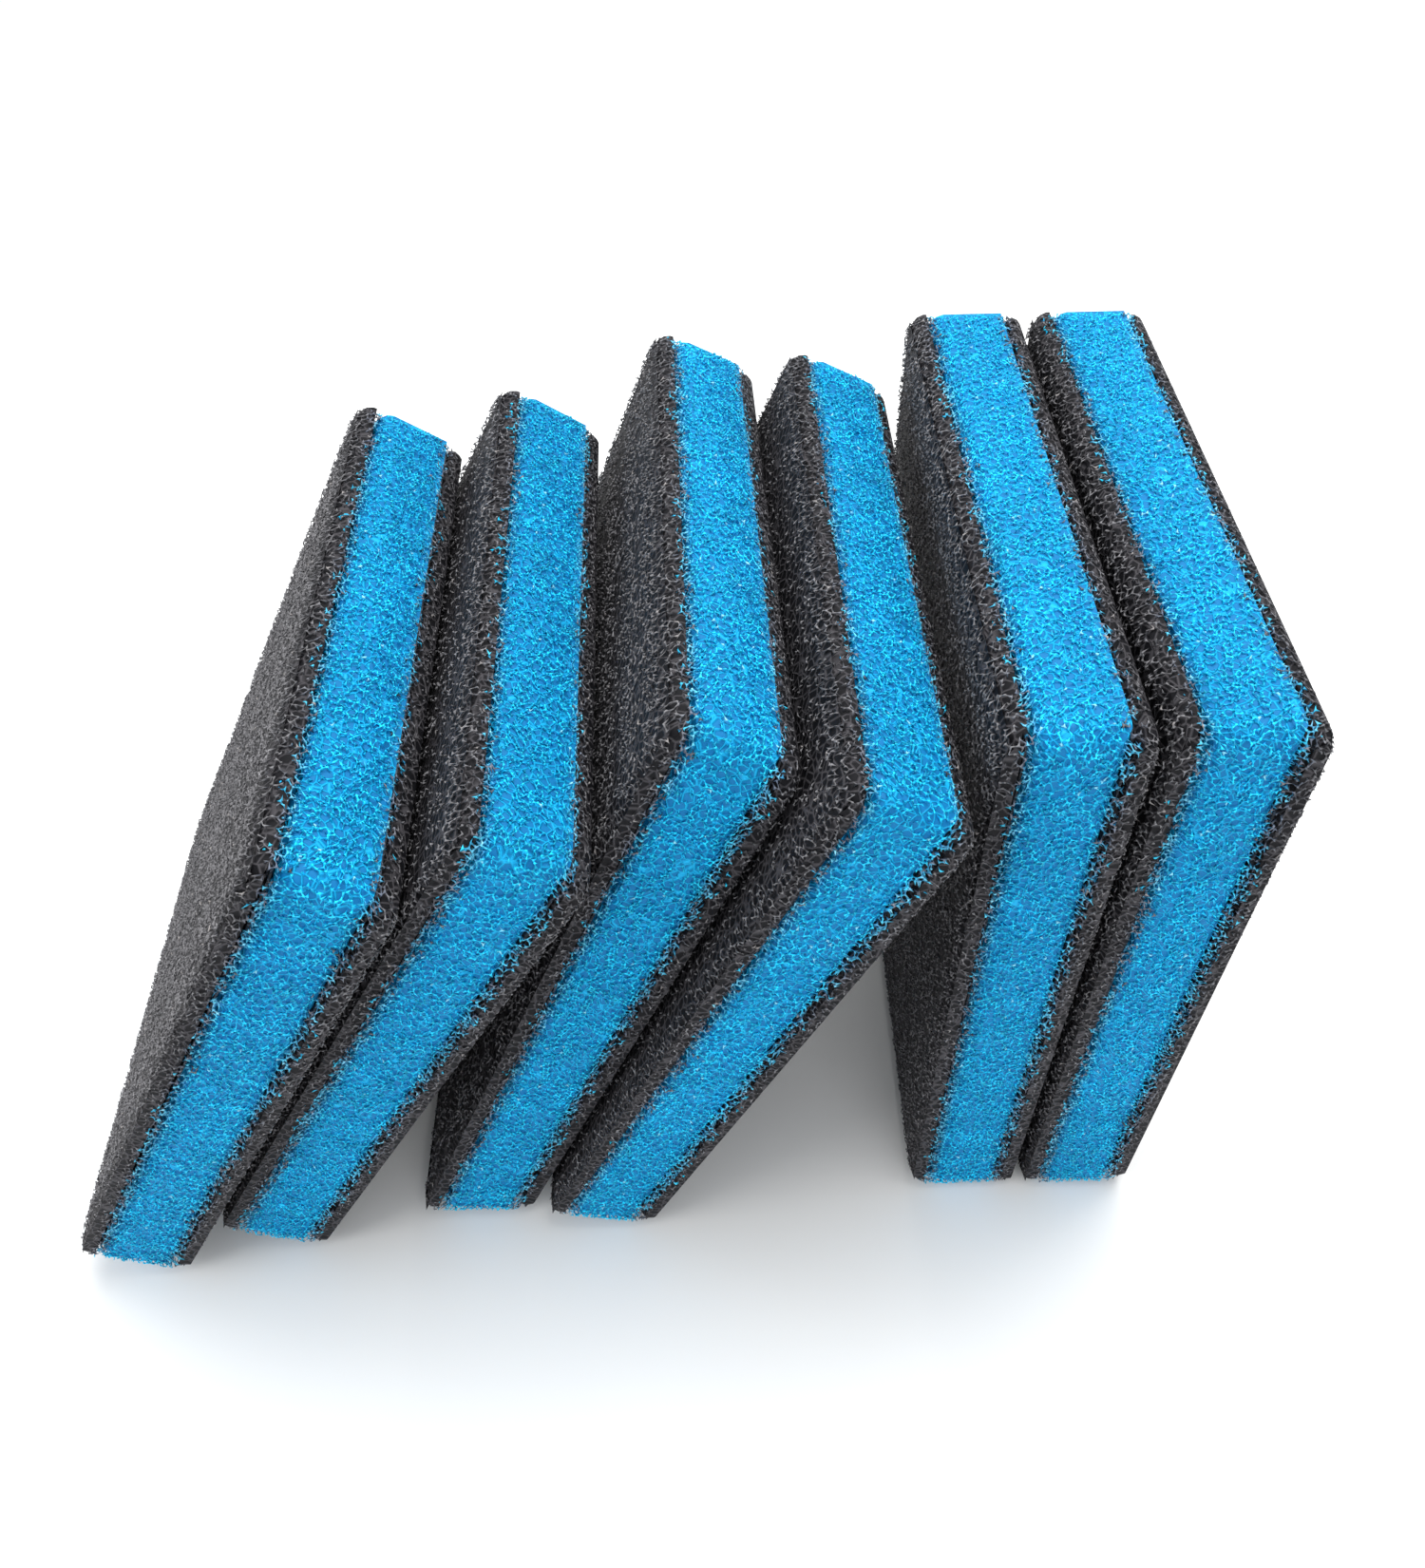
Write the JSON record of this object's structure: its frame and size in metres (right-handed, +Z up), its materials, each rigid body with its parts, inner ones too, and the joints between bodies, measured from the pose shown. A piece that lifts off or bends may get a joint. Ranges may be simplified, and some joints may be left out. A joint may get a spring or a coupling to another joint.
{
  "type": "sponge filter",
  "caption": "Rectangular filter pads of open-cell foam, each a blue core between black faces, standing in a leaning row",
  "frame": {"origin": "middle of the row's footprint, on the surface that the pads stand on", "axes": "+X runs along the row from the leaning pads to the upright ones, +Y runs from the near sides to the far sides, +Z is up"},
  "size_m": [0.1902, 0.1154, 0.1207],
  "materials": {
    "black_foam": "matte",
    "blue_foam": "satin",
    "bond_web": "satin"
  },
  "bodies": {
    "pad_1": {"pad_1_core": "blue_foam", "pad_1_right_bond": "bond_web", "pad_1_right_face": "black_foam"},
    "pad_1_squeezed_face": {"pad_1_left_face": "black_foam", "pad_1_left_bond": "bond_web"},
    "pad_2": {"pad_2_core": "blue_foam", "pad_2_right_bond": "bond_web", "pad_2_right_face": "black_foam"},
    "pad_2_squeezed_face": {"pad_2_left_face": "black_foam", "pad_2_left_bond": "bond_web"},
    "pad_3": {"pad_3_core": "blue_foam", "pad_3_right_bond": "bond_web", "pad_3_right_face": "black_foam"},
    "pad_3_squeezed_face": {"pad_3_left_face": "black_foam", "pad_3_left_bond": "bond_web"},
    "pad_4": {"pad_4_core": "blue_foam", "pad_4_right_bond": "bond_web", "pad_4_right_face": "black_foam"},
    "pad_4_squeezed_face": {"pad_4_left_face": "black_foam", "pad_4_left_bond": "bond_web"},
    "pad_5": {"pad_5_core": "blue_foam", "pad_5_right_bond": "bond_web", "pad_5_right_face": "black_foam"},
    "pad_5_squeezed_face": {"pad_5_left_face": "black_foam", "pad_5_left_bond": "bond_web"},
    "pad_6": {"pad_6_core": "blue_foam", "pad_6_right_bond": "bond_web", "pad_6_right_face": "black_foam"},
    "pad_6_squeezed_face": {"pad_6_left_face": "black_foam", "pad_6_left_bond": "bond_web"}
  },
  "joints": [
    {"name": "pad_1_draw_out", "type": "slide", "parent": "pad_6", "child": "pad_1", "axis": [-0.0349, 0.9994, 0], "range_m": [0, 0.12]},
    {"name": "pad_2_draw_out", "type": "slide", "parent": "pad_6", "child": "pad_2", "axis": [-0.0349, 0.9994, 0], "range_m": [0, 0.12]},
    {"name": "pad_3_draw_out", "type": "slide", "parent": "pad_6", "child": "pad_3", "axis": [-0.0122, 0.9999, 0], "range_m": [0, 0.12]},
    {"name": "pad_4_draw_out", "type": "slide", "parent": "pad_6", "child": "pad_4", "axis": [-0.0122, 0.9999, 0], "range_m": [0, 0.12]},
    {"name": "pad_5_draw_out", "type": "slide", "parent": "pad_6", "child": "pad_5", "axis": [0, 1, 0], "range_m": [0, 0.12]},
    {"name": "pad_1_squeeze", "type": "slide", "parent": "pad_1", "child": "pad_1_squeezed_face", "axis": [0.8698, 0.0304, -0.4924], "range_m": [0, 0.006], "stiffness_N_per_m": 600, "deforming": ["pad_1_core"]},
    {"name": "pad_2_squeeze", "type": "slide", "parent": "pad_2", "child": "pad_2_squeezed_face", "axis": [0.8698, 0.0304, -0.4924], "range_m": [0, 0.006], "stiffness_N_per_m": 600, "deforming": ["pad_2_core"]},
    {"name": "pad_3_squeeze", "type": "slide", "parent": "pad_3", "child": "pad_3_squeezed_face", "axis": [0.9204, 0.0112, -0.3907], "range_m": [0, 0.006], "stiffness_N_per_m": 600, "deforming": ["pad_3_core"]},
    {"name": "pad_4_squeeze", "type": "slide", "parent": "pad_4", "child": "pad_4_squeezed_face", "axis": [0.9204, 0.0112, -0.3907], "range_m": [0, 0.006], "stiffness_N_per_m": 600, "deforming": ["pad_4_core"]},
    {"name": "pad_5_squeeze", "type": "slide", "parent": "pad_5", "child": "pad_5_squeezed_face", "axis": [1, 0, 0], "range_m": [0, 0.006], "stiffness_N_per_m": 600, "deforming": ["pad_5_core"]},
    {"name": "pad_6_squeeze", "type": "slide", "parent": "pad_6", "child": "pad_6_squeezed_face", "axis": [1, 0, 0], "range_m": [0, 0.006], "stiffness_N_per_m": 600, "deforming": ["pad_6_core"]}
  ]
}
